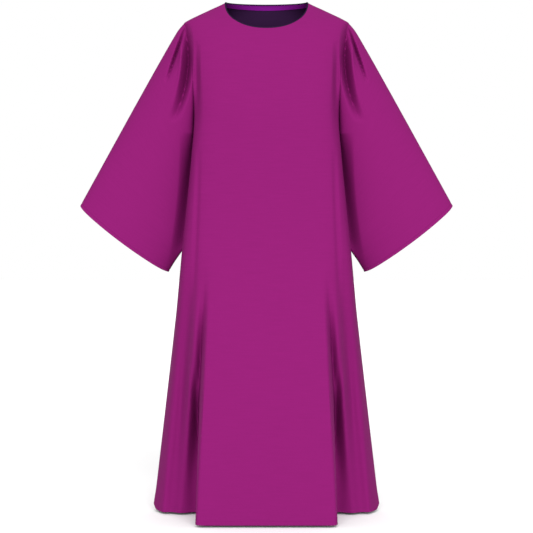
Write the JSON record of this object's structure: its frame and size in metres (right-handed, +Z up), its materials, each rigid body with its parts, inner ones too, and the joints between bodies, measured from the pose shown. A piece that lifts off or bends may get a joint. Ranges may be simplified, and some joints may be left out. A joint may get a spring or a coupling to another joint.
{
  "type": "dalmatic",
  "caption": "Wide-sleeved, round-necked dalmatic in one plain cloth, filled out as worn and flaring to a stepped hem, hollow, with no wearer inside.",
  "frame": {"origin": "middle of the neck opening, level with the neck ends of the shoulder seams, where the wearer's neck and shoulders carry the cloth", "axes": "+Z up; +X to the right of someone who looks at the front; the front faces -Y"},
  "size_m": [0.949, 0.41, 1.3068],
  "materials": {
    "vestment_cloth": "smooth plain weave, matt with a slight sheen",
    "binding_tape": "fine matt tape",
    "facing_cloth": "matt plain weave"
  },
  "bodies": {
    "root": {"front": "vestment_cloth", "back": "vestment_cloth", "sleeve_left": "vestment_cloth", "sleeve_right": "vestment_cloth", "neck_binding": "binding_tape", "back_neck_facing": "facing_cloth"}
  },
  "joints": []
}
